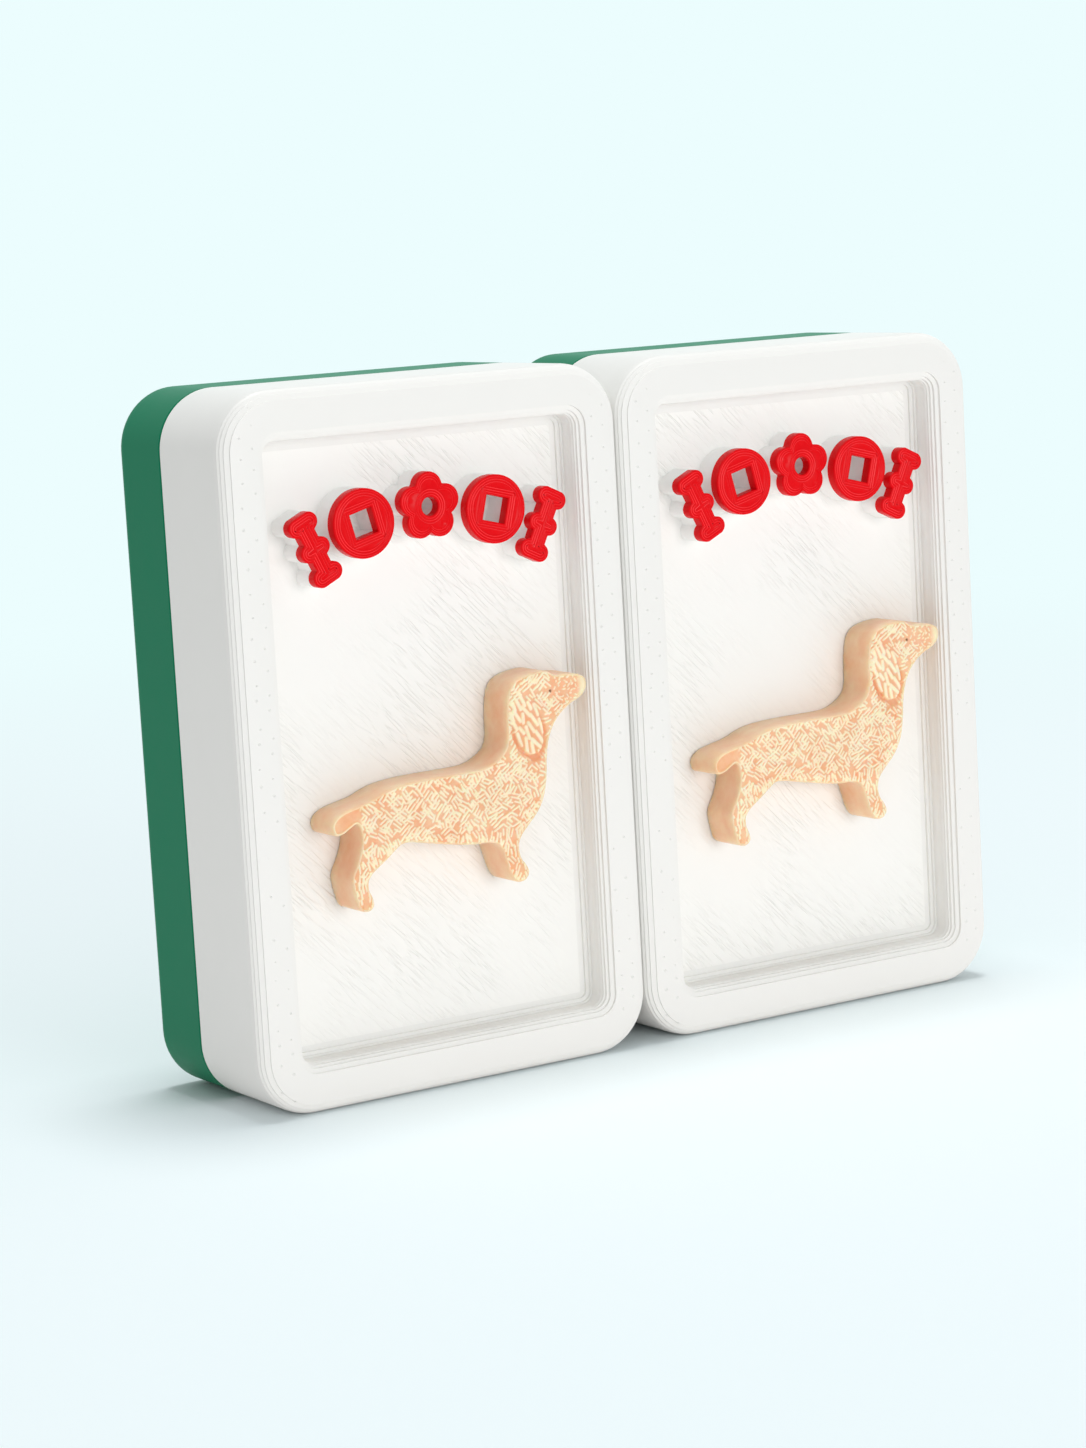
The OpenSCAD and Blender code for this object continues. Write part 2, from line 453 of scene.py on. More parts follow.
class RingLoft(SkinLoft):
    """A skin whose rings are rectangles with round corners, inside a tile's outline."""

    def __init__(self, tile: TileFrame, corner_r: float, level: float, inset: float = 0.0) -> None:
        """Starts from a flat face.

        Args:
            tile: gives the outline's width and height.
            corner_r: radius of the first ring's corners.
            level: height of the first ring.
            inset: how far the first ring lies inside the outline.
        """
        self.half = Vector((tile.width / 2, tile.height / 2))
        self.inset, self.corner_r = inset, corner_r
        bm = bmesh.new()
        bmesh.ops.create_grid(bm, x_segments=1, y_segments=1, size=1)
        bmesh.ops.scale(bm, vec=(self.half.x - inset, self.half.y - inset, 1), verts=bm.verts[:])
        bmesh.ops.bevel(bm, geom=bm.verts[:], offset=corner_r, offset_type="OFFSET",
                        segments=CORNER_SEGMENTS, profile=0.5, affect="VERTICES", material=-1)
        bmesh.ops.translate(bm, vec=(0, 0, level), verts=bm.verts[:])
        super().__init__(bm)

    def to(self, inset: float, corner_r: float, level: float, zone: Zone = Zone.FLANK) -> None:
        """Draws the skin on to the next rectangle.

        Args:
            inset: how far the ring lies inside the outline.
            corner_r: radius of its corners.
            level: its height.
            zone: what the new faces belong to.
        """
        old = self.half - Vector((self.inset + self.corner_r,) * 2)
        new = self.half - Vector((inset + corner_r,) * 2)
        growth = corner_r / self.corner_r

        def place(point: Vector) -> Vector:
            """Keeps a point's direction from its corner's centre."""
            sign = Vector((math.copysign(1, point.x), math.copysign(1, point.y)))
            spot = new * sign + (point.xy - old * sign) * growth
            return Vector((spot.x, spot.y, level))

        self.step(place, zone.value)
        self.inset, self.corner_r = inset, corner_r

    def close(self, zone: Zone = Zone.FLANK) -> None:
        """Fills the last ring with one face."""
        for face in bmesh.ops.contextual_create(self.bm, geom=self.ring)["faces"]:
            face.material_index = zone.value


@dataclass(frozen=True)
class TerracedEdge:
    """A rounded edge as it is printed: each layer ends on the arc in a small step."""

    radius: float
    step_share: float = 0.45

    def steps(self) -> list[Span]:
        """Lists the corners of the steps from the wall to the flat face.

        Returns:
            Pairs of distance from the wall and height off the face.
        """
        corners = [(0.0, self.radius)]
        for k in reversed(range(int(self.radius / LAYER))):
            rise = (k + 0.5) * LAYER
            run = self.radius - math.sqrt(self.radius ** 2 - (self.radius - rise) ** 2)
            half = self.step_share * LAYER / 2
            corners += [(run, rise + half), (run, rise - half)]
        return corners + [(self.radius, 0.0)]


@dataclass(frozen=True)
class TileBack:
    """The green back: a plain slab with a rounded rear edge."""

    tile: TileFrame
    corner_r: float = 3.6
    rear_round: float = 0.8
    seam: float = 0.12
    support: float = 0.05
    arc_steps: int = 8

    def build(self, finish: Material) -> None:
        """Draws the slab from its rear face to the seam.

        Args:
            finish: its material.
        """
        inset = self.rear_round + self.support
        loft = RingLoft(self.tile, self.corner_r - inset, 0, inset)
        for k in range(self.arc_steps + 1):
            lean = math.pi / 2 * k / self.arc_steps
            run = self.rear_round * (1 - math.sin(lean))
            loft.to(run, self.corner_r - run, self.rear_round * (1 - math.cos(lean)))
        top = self.tile.back_t
        loft.to(0, self.corner_r, self.rear_round + self.support)
        loft.to(0, self.corner_r, top - self.seam - self.support)
        loft.to(0, self.corner_r, top - self.seam)
        loft.to(self.seam, self.corner_r - self.seam, top)
        loft.close()
        self.tile.place(loft.bm, "back_slab", [finish], "green_plastic", ["back"])


@dataclass(frozen=True)
class TileBody:
    """The white body: a rim between two terraced edges, and a recess with a terraced cove."""

    tile: TileFrame
    corner_r: float = 3.6
    rim_w: float = 3.0
    recess_depth: float = 2.2
    recess_corner_r: float = 0.75
    outer_edge: TerracedEdge = TerracedEdge(1.1)
    inner_edge: TerracedEdge = TerracedEdge(1.0, step_share=0.8)
    cove: TerracedEdge = TerracedEdge(0.65, step_share=0.8)
    seam: float = 0.09
    support: float = 0.05

    @property
    def floor_level(self) -> float:
        """Height of the recess floor above the tile's back."""
        return self.tile.thickness - self.recess_depth

    def build(self, finishes: list[Material]) -> None:
        """Draws the skin from the seam over the front edge and the rim to the recess floor.

        Args:
            finishes: materials in the order of the zones.
        """
        top, bottom = self.tile.thickness, self.tile.back_t
        loft = RingLoft(self.tile, self.corner_r - self.seam, bottom, self.seam)
        for level in (bottom + self.seam, bottom + self.seam + self.support):
            loft.to(0, self.corner_r, level)
        for run, drop in self.outer_edge.steps():
            zone = Zone.FLANK if run < self.outer_edge.radius / 2 else Zone.RIM
            loft.to(run, self.corner_r - run, top - drop, zone)
        self.recess(loft)
        self.tile.place(loft.bm, "body_shell", finishes, "white_plastic", ["body"])

    def recess(self, loft: RingLoft) -> None:
        """Draws the skin over the rim's inner edge, down the wall and over the cove to the floor.

        Args:
            loft: the skin so far, on the rim.
        """
        top, floor = self.tile.thickness, self.floor_level
        skin = [(self.rim_w - run, top - drop, Zone.RIM) for run, drop in reversed(self.inner_edge.steps())]
        skin += [(self.rim_w + run, floor + rise, Zone.WALL) for run, rise in self.cove.steps()]
        skin.append((self.rim_w + self.cove.radius + self.support, floor, Zone.RECESS))
        for inset, level, zone in skin:
            loft.to(inset, self.recess_corner_r + self.rim_w - inset, level, zone)
        loft.close(Zone.RECESS)


@dataclass(frozen=True)
class MarkOutline:
    """Outline of a traditional mark, and the lines that run inside it at an even distance."""

    shape: MarkShape
    pip_d: float
    stick_h: float = 4.4
    stick_w_share: float = 0.49
    stem_w_share: float = 0.55
    coin_hole_share: float = 0.37
    blossom_hole_share: float = 0.27
    petals: int = 5
    petal_d_share: float = 0.44
    start_hole_share: float = 0.25

    def start(self) -> Mesh:
        """Draws the mark flat, centred on the origin.

        Returns:
            A mesh of flat faces.
        """
        bm = bmesh.new()
        if self.shape is MarkShape.BAMBOO:
            bmesh.ops.create_grid(bm, x_segments=1, y_segments=ROUND_SEGMENTS, size=self.stick_h / 2)
        else:
            for share in (1, self.start_hole_share):
                bmesh.ops.create_circle(bm, segments=ROUND_SEGMENTS, radius=self.pip_d / 2 * share)
            bmesh.ops.bridge_loops(bm, edges=bm.edges[:])
        for vert in bm.verts:
            vert.co = self.moved(vert.co, 0, 0, 0)
        return bm

    def moved(self, point: Vector, old_inset: float, inset: float, level: float) -> Vector:
        """Moves a point from one inner line of the mark to another.

        Args:
            point: where it is.
            old_inset: distance of its line from the outline.
            inset: distance of the new line.
            level: height of the new line.

        Returns:
            The new place.
        """
        if self.shape is MarkShape.BAMBOO:
            height = point.y * (self.stick_h / 2 - inset) / (self.stick_h / 2 - old_inset)
            return Vector((math.copysign(self.stick_reach(height, inset), point.x), height, level))
        angle = math.atan2(point.x, point.y)
        rim, hole = ((self.coin_rim, self.coin_hole) if self.shape is MarkShape.COIN
                     else (self.petal_rim, self.blossom_hole))
        middle = (rim(angle, 0) + hole(angle, 0)) / 2
        reach = rim(angle, inset) if point.xy.length > middle else hole(angle, inset)
        return Vector((math.sin(angle) * reach, math.cos(angle) * reach, level))

    def stick_reach(self, height: float, inset: float) -> float:
        """Gives half the width of the bamboo stick at a height: its stem, or a round-ended joint."""
        width = self.pip_d * self.stick_w_share
        stem_r = width * self.stem_w_share / 2
        joint_r = stem_r - inset
        nearest = min(abs(height - k * (self.stick_h / 2 - stem_r)) for k in (-1, 0, 1))
        bulge = math.sqrt(max(joint_r ** 2 - nearest ** 2, 0)) + width / 2 - stem_r
        return max(joint_r, bulge) if nearest < joint_r + TOUCH else joint_r

    def coin_rim(self, angle: float, inset: float) -> float:
        """Gives the coin's outer reach."""
        return self.pip_d / 2 - inset

    def coin_hole(self, angle: float, inset: float) -> float:
        """Gives the reach of the coin's square hole at an angle."""
        flat = self.pip_d * self.coin_hole_share / 2 + inset
        return flat / max(abs(math.cos(angle)), abs(math.sin(angle)))

    def petal_rim(self, angle: float, inset: float) -> float:
        """Gives the reach of the nearest petal at an angle from the top."""
        petal_r = self.pip_d * self.petal_d_share / 2
        out = self.pip_d / 2 - petal_r
        step = 2 * math.pi / self.petals
        lean = (angle + step / 2) % step - step / 2
        return out * math.cos(lean) + math.sqrt(petal_r ** 2 - (out * math.sin(lean)) ** 2) - inset

    def blossom_hole(self, angle: float, inset: float) -> float:
        """Gives the reach of the blossom's round hole."""
        return self.pip_d * self.blossom_hole_share / 2 + inset


@dataclass(frozen=True)
class Mark:
    """One mark of the row: a white plinth with a red cap."""

    tile: TileFrame
    body: TileBody
    node: str
    shape: MarkShape
    arch_r: float = 17.8
    row_rise: float = 13.45
    sink: float = 0.05
    cap_round: float = 0.1
    cap_steps: int = 4
    line_at: tuple[float, ...] = (0.15, 0.3, 0.45)
    line_w: float = 0.06
    line_t: float = 0.025

    def lofted(self, profile: list[tuple[float, float, int]]) -> Mesh:
        """Draws the mark as a solid in its place on the lying tile.

        Args:
            profile: inset, height and material slot of each ring, from the foot to the top.

        Returns:
            The solid's mesh.
        """
        side = self.tile.side.value
        coin_low, coin_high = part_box(f"{side}_coin_outer")
        low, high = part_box(f"{side}_{self.node}")
        outline = MarkOutline(self.shape, (coin_high.x - coin_low.x) / MM)
        loft = SkinLoft(outline.start())
        bmesh.ops.translate(loft.bm, vec=(0, 0, profile[0][1]), verts=loft.bm.verts[:])
        inset = 0.0
        for new_inset, level, slot in profile[1:]:
            loft.step(partial(outline.moved, old_inset=inset, inset=new_inset, level=level), slot)
            inset = new_inset
        if self.shape is MarkShape.BAMBOO:
            top = bmesh.ops.contextual_create(loft.bm, geom=loft.ring)["faces"]
        else:
            top = bmesh.ops.bridge_loops(loft.bm, edges=loft.ring)["faces"]
        for face in top:
            face.material_index = 0
        middle = (low.x + high.x) / 2 / MM - self.tile.stand().translation.x / MM
        place = (Matrix.Translation((0, self.row_rise - self.arch_r, 0))
                 @ Matrix.Rotation(-math.asin(middle / self.arch_r), 4, "Z")
                 @ Matrix.Translation((0, self.arch_r, 0)))
        bmesh.ops.transform(loft.bm, matrix=place, verts=loft.bm.verts[:])
        return loft.bm

    def levels(self) -> Span:
        """Gives the heights of the cap's foot and top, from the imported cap."""
        low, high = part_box(f"{self.tile.side.value}_{self.node}")
        return self.tile.rear - high.y / MM, self.tile.rear - low.y / MM

    def build_plinth(self, finish: Material) -> None:
        """Makes the white plinth, from just inside the floor to the cap."""
        bm = self.lofted([(0, self.body.floor_level - self.sink, 0), (0, self.levels()[0], 0)])
        self.tile.place(bm, f"{self.node}_plinth", [finish], "white_plastic", ["body"])

    def build_cap(self, finishes: list[Material]) -> None:
        """Makes the red cap, with a rounded edge and the nozzle's lines following its outline.

        Args:
            finishes: materials of the cap and of its raised lines, whose paler red is a painted highlight.
        """
        foot, top = self.levels()
        profile = [(0, foot, 0)]
        for k in range(self.cap_steps + 1):
            lean = math.pi / 2 * k / self.cap_steps
            run, drop = (self.cap_round * (1 - turn(lean)) for turn in (math.cos, math.sin))
            profile.append((run, top - drop, 0))
        half, low = self.line_w / 2, top - self.line_t
        # Each line's crest takes slot 1, the paler red of a painted highlight
        for at in self.line_at:
            profile += [(at - half, low, 0), (at, top, 1), (at + half, low, 0)]
        bm = self.lofted(profile)
        self.tile.place(bm, f"{self.node}_cap", finishes, "red_plastic", [self.node])


@dataclass
class DogFur:
    """The strokes on the dog's face, each a short straight ridge with round ends.

    They lie in clumps on the body, as broad locks on the ear, and as dots on the muzzle and the chest.
    Places are measured from the dog's lower left corner.
    """

    size: Array
    clump: float = 0.54
    clump_stray: float = 0.3
    clump_counts: tuple[int, int] = (2, 4)
    pitch: float = 0.22
    width: float = 0.18
    width_shares: Span = (0.8, 1.1)
    lengths: Span = (0.4, 0.8)
    least_ridge: float = 0.02
    along_stray: float = 0.18
    slants: Span = (0.7, -0.85)
    slant_spread: float = 0.2
    stroke_spread: float = 0.12
    swap_chance: float = 0.25
    leg_share: float = 0.27
    leg_spread: float = 0.3
    eye_share: Span = (0.853, 0.9)
    eye_clear: float = 0.42
    ear_share: Span = (0.757, 0.745)
    ear_reach: Span = (1.0, 1.75)
    ear_lean: float = 0.3
    ear_clear: float = 1.2
    lock_pitch: float = 0.34
    lock_w: float = 0.32
    lock_lengths: Span = (0.7, 1.2)
    lock_turn: Span = (0.1, 0.2)
    muzzle_share: float = 0.875
    dot_pitch: float = 0.27
    dot_w: float = 0.15
    dot_stray: float = 0.1
    dot_lengths: Span = (0.15, 0.35)
    dot_shares: Span = (0.7, 1.1)
    chest_dots: int = 4
    chest_length: float = 0.26
    chest_spread: float = 0.4
    chest: tuple[Span, ...] = ((0.838, 0.66), (0.85, 0.56), (0.845, 0.46))
    seed: int = 27

    def __post_init__(self) -> None:
        """Lays all the strokes."""
        self.rng = np.random.default_rng(self.seed)
        self.strokes: list[tuple[Array, Array, float]] = []
        self.lay_body()
        self.lay_ear()
        self.lay_muzzle()
        self.lay_chest()

    @property
    def eye_spot(self) -> Array:
        """Place of the eye."""
        return np.array(self.eye_share) * self.size

    def add(self, middle: Array, slant: float, length: float, width: float) -> None:
        """Adds a stroke; its slant is the angle from the x axis, in radians."""
        half = max(length - width, self.least_ridge) / 2
        self.strokes.append((middle, half * np.array((math.cos(slant), math.sin(slant))), width / 2))

    def heights(self, points: Array) -> Array:
        """Gives the height of the strokes at points of the face.

        Args:
            points: one row of x and y for each point.

        Returns:
            Heights from 0, off the strokes, to 1.
        """
        best = np.zeros(len(points))
        for middle, half, reach in self.strokes:
            near = np.flatnonzero(np.all(np.abs(points - middle) < np.abs(half) + reach, axis=1))
            offset = points[near] - middle
            share = np.clip(offset @ half / (half @ half), -1, 1)
            gap = np.linalg.norm(offset - share[:, None] * half, axis=1)
            best[near] = np.maximum(best[near], 1 - (gap / reach) ** 2)
        return best

    def ear_place(self, spots: Array) -> tuple[Array, Array]:
        """Measures points in the hanging ear's own frame.

        Args:
            spots: one row of x and y for each point.

        Returns:
            Distance up the ear, and reach, which is 1 on its edge.
        """
        x, y = (spots - np.array(self.ear_share) * self.size).T
        cos, sin = math.cos(self.ear_lean), math.sin(self.ear_lean)
        up = y * cos - x * sin
        return up, np.hypot((x * cos + y * sin) / self.ear_reach[0], up / self.ear_reach[1])

    def lay_body(self) -> None:
        """Lays the clumps, clear of the eye, the ear and the muzzle."""
        columns, rows = (int(length / self.clump) + 1 for length in self.size)
        for column in range(columns):
            for row in range(rows):
                stray = self.rng.uniform(-self.clump_stray, self.clump_stray, 2)
                spot = (np.array((column, row)) + stray) * self.clump
                share = spot / self.size
                at_eye = np.linalg.norm(spot - self.eye_spot) < self.eye_clear
                at_ear = self.ear_place(spot[None])[1][0] < self.ear_clear
                on_muzzle = share[0] > self.muzzle_share and share[1] > self.ear_share[1]
                if not (at_eye or at_ear or on_muzzle):
                    self.lay_clump(spot, self.slant_at(share, column + row))

    def slant_at(self, share: Array, parity: int) -> float:
        """Gives a clump's direction: crosswise on the body, and downwards on the legs.

        Args:
            share: the clump's place in shares of the dog's size.
            parity: odd and even clumps take turns.

        Returns:
            An angle in radians.
        """
        if share[1] < self.leg_share:
            return math.pi / 2 + self.rng.normal(0, self.leg_spread)
        turn = (parity + (self.rng.random() < self.swap_chance)) % 2
        return self.slants[turn] + self.rng.normal(0, self.slant_spread)

    def lay_clump(self, spot: Array, slant: float) -> None:
        """Lays a few strokes side by side.

        Args:
            spot: the clump's middle.
            slant: their direction.
        """
        count = self.rng.integers(*self.clump_counts, endpoint=True)
        across = np.array((-math.sin(slant), math.cos(slant)))
        along = np.array((math.cos(slant), math.sin(slant)))
        for k in range(count):
            stray = along * self.rng.uniform(-self.along_stray, self.along_stray)
            middle = spot + across * (k - (count - 1) / 2) * self.pitch + stray
            width = self.width * self.rng.uniform(*self.width_shares)
            turn = slant + self.rng.normal(0, self.stroke_spread)
            self.add(middle, turn, self.rng.uniform(*self.lengths), width)

    def lay_ear(self) -> None:
        """Lays columns of locks down the ear, like leaves."""
        wide, tall = self.ear_reach
        cos, sin = math.cos(self.ear_lean), math.sin(self.ear_lean)
        for across in np.arange(self.lock_pitch / 2 - wide, wide, self.lock_pitch):
            reach = tall * math.sqrt(1 - (across / wide) ** 2)
            up = -reach
            while up < reach:
                length = self.rng.uniform(*self.lock_lengths)
                rise = min(up + length / 2, reach)
                turned = np.array((across * cos - rise * sin, across * sin + rise * cos))
                slant = math.pi / 2 + self.ear_lean + self.rng.normal(*self.lock_turn)
                self.add(np.array(self.ear_share) * self.size + turned, slant, length, self.lock_w)
                up += length

    def lay_muzzle(self) -> None:
        """Lays small dots on the muzzle."""
        left, low = self.muzzle_share * self.size[0], self.ear_share[1] * self.size[1]
        for x in np.arange(left, self.size[0], self.dot_pitch):
            for y in np.arange(low, self.size[1], self.dot_pitch):
                spot = np.array((x, y)) + self.rng.uniform(-self.dot_stray, self.dot_stray, 2)
                slant, length = self.rng.uniform(0, math.pi), self.rng.uniform(*self.dot_lengths)
                self.add(spot, slant, length, self.dot_w * self.rng.uniform(*self.dot_shares))

    def lay_chest(self) -> None:
        """Lays a line of dots down the chest."""
        count = self.chest_dots
        for first, last in zip(self.chest, self.chest[1:]):
            for k in range(count):
                spot = (np.array(first) * (count - k) + np.array(last) * k) / count * self.size
                slant = self.rng.uniform(-self.chest_spread, self.chest_spread)
                self.add(spot, slant, self.chest_length, self.dot_w)


@dataclass(frozen=True)
class TileDog:
    """The gold dachshund: smooth sides, a rounded edge, and fur, ear, eye, nose and toes cut in its face."""

    tile: TileFrame
    voxel: float = 0.085
    smoothing: int = 3
    fine_voxels: int = 4
    fine_tilt: float = 0.3
    side_shares: Span = (0.3, 0.6)
    face_depths: Span = (0.5, 0.3)
    face_tilts: Span = (0.2, 0.7)
    edge_band: Span = (0.07, 0.12)
    fur_t: float = 0.08
    ear_t: float = 0.14
    flap_t_share: float = 0.3
    flap_edge: Span = (1.05, 0.93)
    groove_in: Span = (0.92, 1.04)
    groove_out: Span = (1.28, 1.12)
    groove_up: Span = (0.7, -0.3)
    eye_r: Span = (0.13, 0.052)
    eye_t: float = 0.04
    nose_shares: Span = (0.945, 0.985)
    tail_shares: Span = (0.12, 0.09)
    tail_rise_shares: Span = (0.3, 0.34)
    tail_edge: Span = (0.1, 0.25)
    tail_drop: float = 0.12
    toe_shares: Span = (0.05, 0.02)
    toe_w: float = 0.42
    toe_gap: Span = (0.7, 1.0)
    toe_t: float = 0.1
    # Cream shares of painted light: walls lifted and paler towards their top edge, painted highlights on
    # raised strokes, along the face's outline and on the nose, and painted shade in the ear's groove
    wall_light_tone: float = 0.34
    band_highlight_tone: float = 0.5
    band_rise: Span = (0.6, 0.97)
    gap_tone: float = 0.2
    stroke_rise: Span = (0.1, 0.8)
    contour_in: Span = (0.06, 0.1)
    contour_out: Span = (0.17, 0.13)
    contour_highlight_tone: float = 0.65
    groove_shade: float = 0.8
    nose_highlight_tone: float = 0.85

    def build(self, finish: Material) -> None:
        """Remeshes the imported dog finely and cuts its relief.

        Args:
            finish: its material.
        """
        bm = self.fine_copy()
        points = np.array([vert.co for vert in bm.verts])
        normals = np.array([vert.normal for vert in bm.verts])
        relief = self.relief(points, normals)
        # The dog's colour attributes carry painted highlight and painted shade
        fur_sheen_layer = bm.verts.layers.float.new("fur_and_sheen")
        eye_shade_layer = bm.verts.layers.float.new("eye_dip_shade")
        for vert, lift, tone, eye_dip_shade in zip(bm.verts, *relief):
            vert.co.z += lift
            vert[fur_sheen_layer] = tone
            vert[eye_shade_layer] = eye_dip_shade
        self.tile.place(bm, "dog_relief", [finish], "gold_plastic", ["dog"], sharp_degrees=180)

    def fine_copy(self) -> Mesh:
        """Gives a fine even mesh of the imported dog, laid on the tile in millimetres."""
        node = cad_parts[f"{self.tile.side.value}_dog"]
        rough = bmesh.new()
        rough.from_mesh(node.data)
        bmesh.ops.remove_doubles(rough, verts=rough.verts[:], dist=WELD_M)
        bmesh.ops.transform(rough, matrix=self.tile.stand().inverted(), verts=rough.verts[:])
        mesh = bpy.data.meshes.new("dog_rough")
        rough.to_mesh(mesh)
        rough.free()
        holder = add_object("dog_rough", mesh)
        remesh = holder.modifiers.new("even", "REMESH")
        remesh.mode = "VOXEL"
        remesh.voxel_size = self.voxel
        fine = bmesh.new()
        fine.from_object(holder, bpy.context.evaluated_depsgraph_get())
        bpy.data.objects.remove(holder)
        bpy.data.meshes.remove(mesh)
        for _ in range(self.smoothing):
            bmesh.ops.smooth_vert(fine, verts=fine.verts[:], factor=0.5,
                                  use_axis_x=True, use_axis_y=True, use_axis_z=True)
        fine.normal_update()
        top = max(vert.co.z for vert in fine.verts) - self.voxel * self.fine_voxels
        upper = dict.fromkeys(
            edge for face in fine.faces
            if face.normal.z > self.fine_tilt and face.calc_center_median().z > top for edge in face.edges)
        bmesh.ops.subdivide_edges(fine, edges=list(upper), cuts=1, use_grid_fill=True)
        fine.normal_update()
        return fine

    def relief(self, points: Array, normals: Array) -> tuple[Array, Array, Array]:
        """Works out the relief of the dog's face.

        Args:
            points: places of the mesh's vertices on the lying tile.
            normals: their normals.

        Returns:
            Lift of each vertex, its share of cream, which is painted light and highlight, and its share of
            the eye's brown, which is painted shade in its dimple.
        """
        low, high = points.min(0), points.max(0)
        flat, size = points[:, :2] - low[:2], (high - low)[:2]
        shares = flat / size
        edge = self.edge_distance(points, low[2], high[2])
        deep, near = self.face_depths
        face = smooth_step(high[2] - deep, high[2] - near, points[:, 2])
        face *= smooth_step(*self.face_tilts, normals[:, 2])
        inside = face * smooth_step(*self.edge_band, edge)
        tail = face * smooth_step(*self.tail_rise_shares, shares[:, 1])
        tail *= smooth_step(*self.tail_shares, shares[:, 0])
        nose = smooth_step(*self.nose_shares, shares[:, 0])
        coat = DogFur(size)
        ear, groove = self.ear_flap(*coat.ear_place(flat))
        fur_and_sheen = coat.heights(flat) * inside * (1 - tail) * (1 - nose)
        eye_dip_shade = smooth_step(*self.eye_r, np.linalg.norm(flat - coat.eye_spot, axis=1)) * face
        toes = self.toe_marks(shares, flat) * face
        lift = self.fur_t * (fur_and_sheen - inside * (1 - tail))
        lift += self.ear_t * inside * (self.flap_t_share * (ear - 1) - groove)
        lift -= self.tail_drop * tail * smooth_step(*self.tail_edge, edge)
        lift -= self.toe_t * toes + self.eye_t * eye_dip_shade
        # Painted light in the cream share: paler walls brightening towards the top, highlights on strokes,
        # outline and nose, and shade in the ear's groove
        rise = (points[:, 2] - low[2]) / (high[2] - low[2])
        wall = self.wall_light_tone + (self.band_highlight_tone - self.wall_light_tone) * smooth_step(*self.band_rise, rise)
        stroke = self.gap_tone + (1 - self.gap_tone) * smooth_step(*self.stroke_rise, fur_and_sheen)
        tone = wall * (1 - inside) + inside * stroke
        contour_highlight = face * smooth_step(*self.contour_in, edge) * smooth_step(*self.contour_out, edge)
        tone = np.maximum(tone, self.contour_highlight_tone * contour_highlight) * (1 - self.groove_shade * groove * inside)
        tone = np.maximum(tone, self.nose_highlight_tone * nose * inside)
        return lift, np.clip(tone, 0, 1), eye_dip_shade

    def edge_distance(self, points: Array, low: float, high: float) -> Array:
        """Gives each point's distance, seen from the front, to the dog's side walls."""
        foot, top = (low + (high - low) * share for share in self.side_shares)
        wall = points[(points[:, 2] > foot) & (points[:, 2] < top)]
        tree = kdtree.KDTree(len(wall))
        for index, point in enumerate(wall):
            tree.insert((point[0], point[1], 0), index)
        tree.balance()
        return np.array([tree.find((point[0], point[1], 0))[2] for point in points])

    def ear_flap(self, up: Array, reach: Array) -> tuple[Array, Array]:
        """Gives the hanging ear's cover and the groove under its lower edge."""
        groove = smooth_step(*self.groove_in, reach) * smooth_step(*self.groove_out, reach)
        return smooth_step(*self.flap_edge, reach), groove * smooth_step(*self.groove_up, up)

    def toe_marks(self, shares: Array, flat: Array) -> Array:
        """Draws the gaps between the toes on both paws."""
        low = smooth_step(*self.toe_shares, shares[:, 1])
        return low * smooth_step(*self.toe_gap, np.cos(2 * math.pi * flat[:, 0] / self.toe_w))


@dataclass(frozen=True)
class PhotoCamera:
    """The photograph's camera, in millimetres, radians and pixels."""

    place: Triple = (-122.785, -188.175, 52.03)
    yaw: float = 0.568
    pitch: float = -0.1436
    roll: float = 0.0565
    focal_px: float = 3664.2
    sensor_mm: float = 36.0
    clip_m: Span = (0.01, 10)

    def build(self) -> None:
        """Makes the camera and hands it to the scene."""
        reach = math.cos(self.pitch)
        ahead = Vector((math.sin(self.yaw) * reach, math.cos(self.yaw) * reach, math.sin(self.pitch)))
        level = Vector((math.cos(self.yaw), -math.sin(self.yaw), 0))
        down = ahead.cross(level)
        right = math.cos(self.roll) * level + math.sin(self.roll) * down
        under = math.cos(self.roll) * down - math.sin(self.roll) * level
        data = bpy.data.cameras.new("photo_camera")
        data.sensor_fit = "VERTICAL"
        data.sensor_height = self.sensor_mm
        data.lens = self.sensor_mm * self.focal_px / PHOTO_H
        data.clip_start, data.clip_end = self.clip_m
        camera = add_object("photo_camera", data)
        turn = Matrix((right, -under, -ahead)).transposed()
        camera.matrix_world = Matrix.Translation(Vector(self.place) * MM) @ turn.to_4x4()
        bpy.context.scene.camera = camera


@dataclass(frozen=True)
class SoftLamp:
    """A large soft lamp that looks at the middle of the pair."""

    name: str
    place_m: Triple
    size_m: float
    power_w: float
    target_m: Triple = (0, 0, 0.02)

    def build(self) -> None:
        """Makes the lamp."""
        data = bpy.data.lights.new(self.name, "AREA")
        data.shape = "DISK"
        data.size = self.size_m
        data.energy = self.power_w
        lamp = add_object(self.name, data)
        lamp.location = self.place_m
        aim = Vector(self.target_m) - lamp.location
        lamp.rotation_euler = aim.to_track_quat("-Z", "Y").to_euler()


